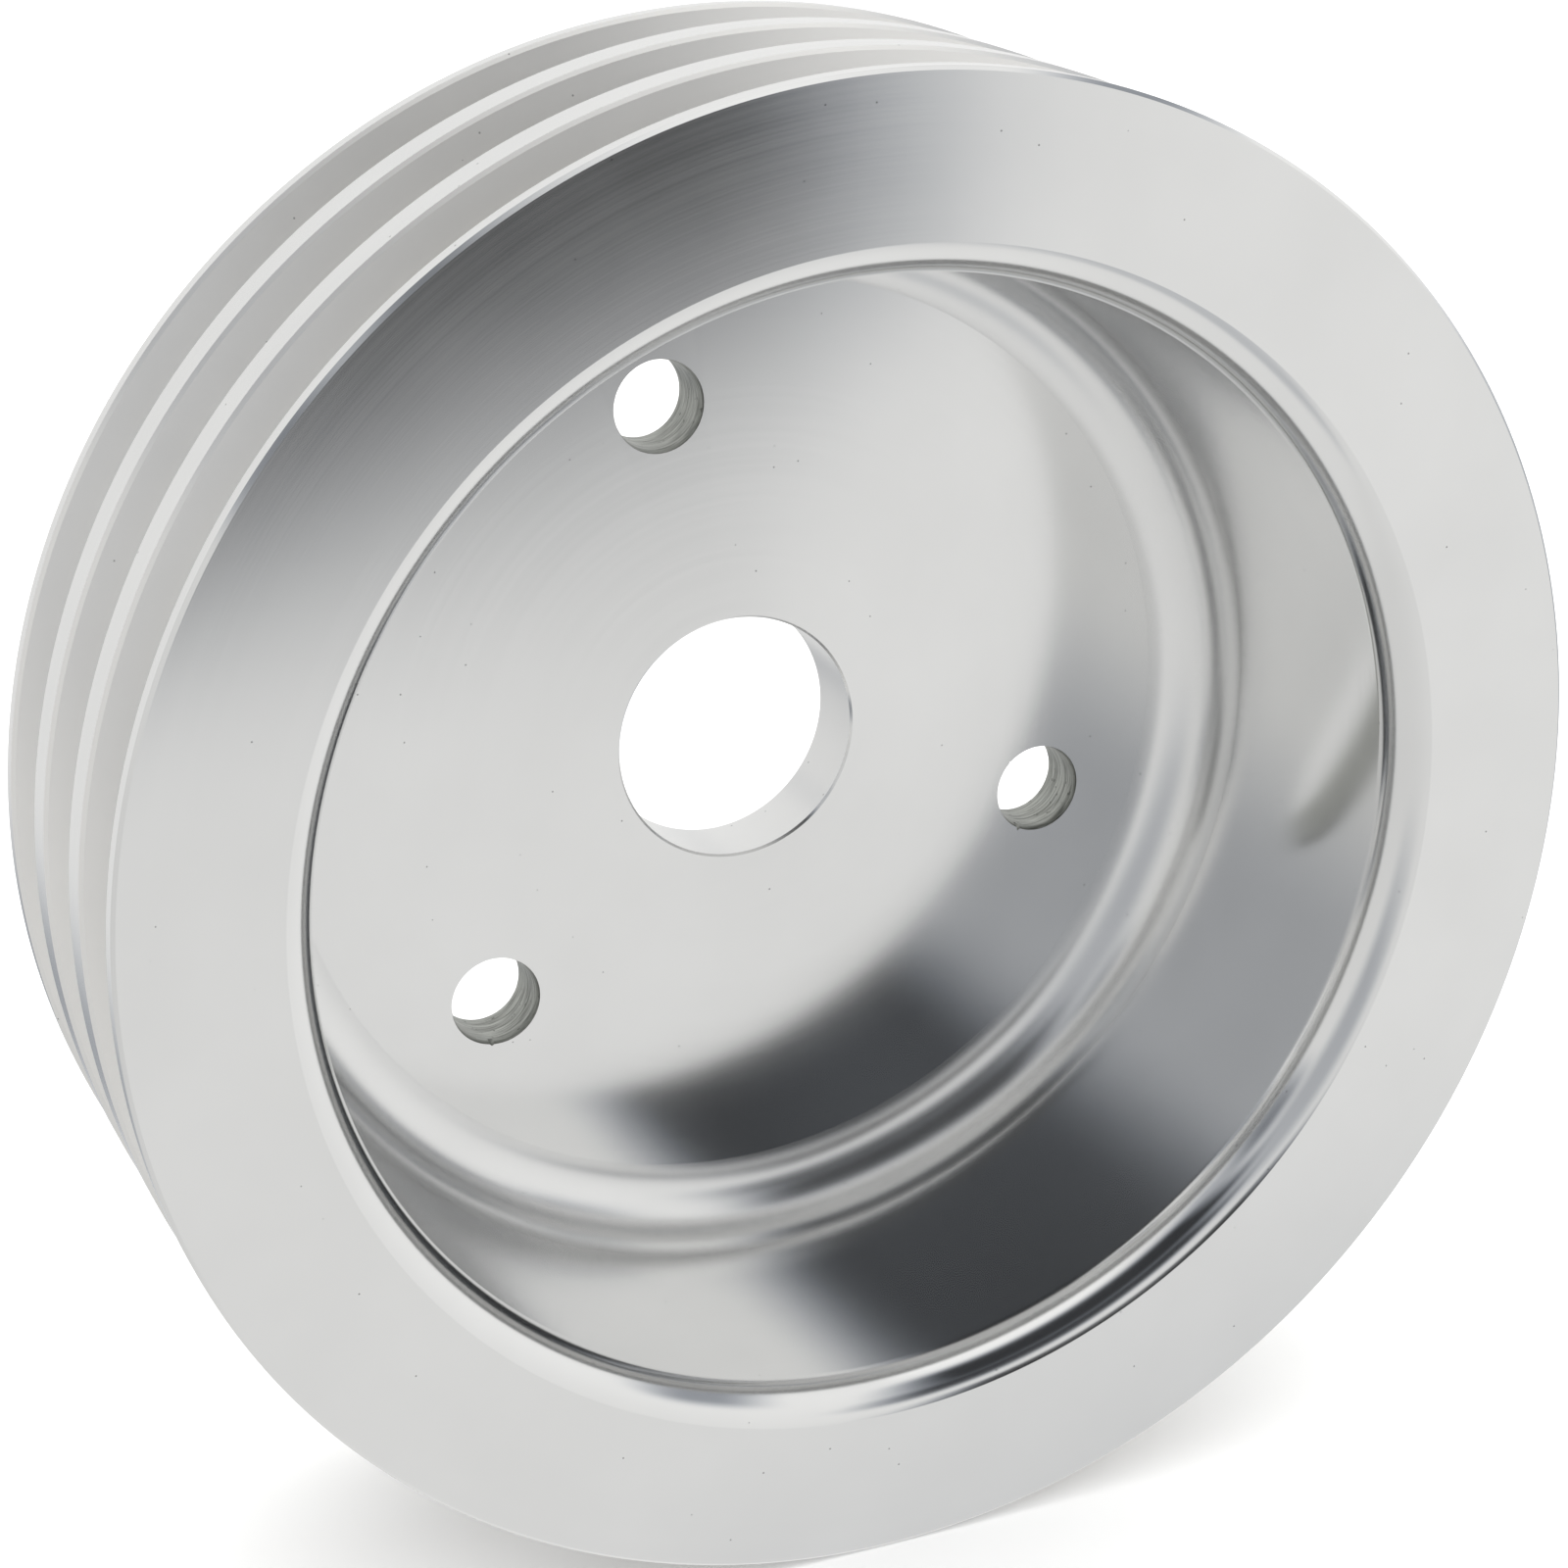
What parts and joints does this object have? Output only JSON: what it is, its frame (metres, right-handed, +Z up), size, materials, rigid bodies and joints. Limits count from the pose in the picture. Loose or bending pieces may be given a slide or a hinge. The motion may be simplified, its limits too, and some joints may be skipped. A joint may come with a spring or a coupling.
{
  "type": "crankshaft pulley",
  "caption": "Deep-bowl crankshaft pulley for V-belts, turned from one aluminium billet, with a centre bore and a bolt circle in its web.",
  "frame": {"origin": "on the pulley's axis, at the back face that seats against the crankshaft damper", "axes": "+Y along the axis towards the engine; the open bowl faces -Y; +Z up, X across"},
  "size_m": [0.1624, 0.0514, 0.1624],
  "materials": {
    "polished_aluminium": "polished"
  },
  "bodies": {
    "root": {"crank_pulley": "polished_aluminium"}
  },
  "joints": []
}
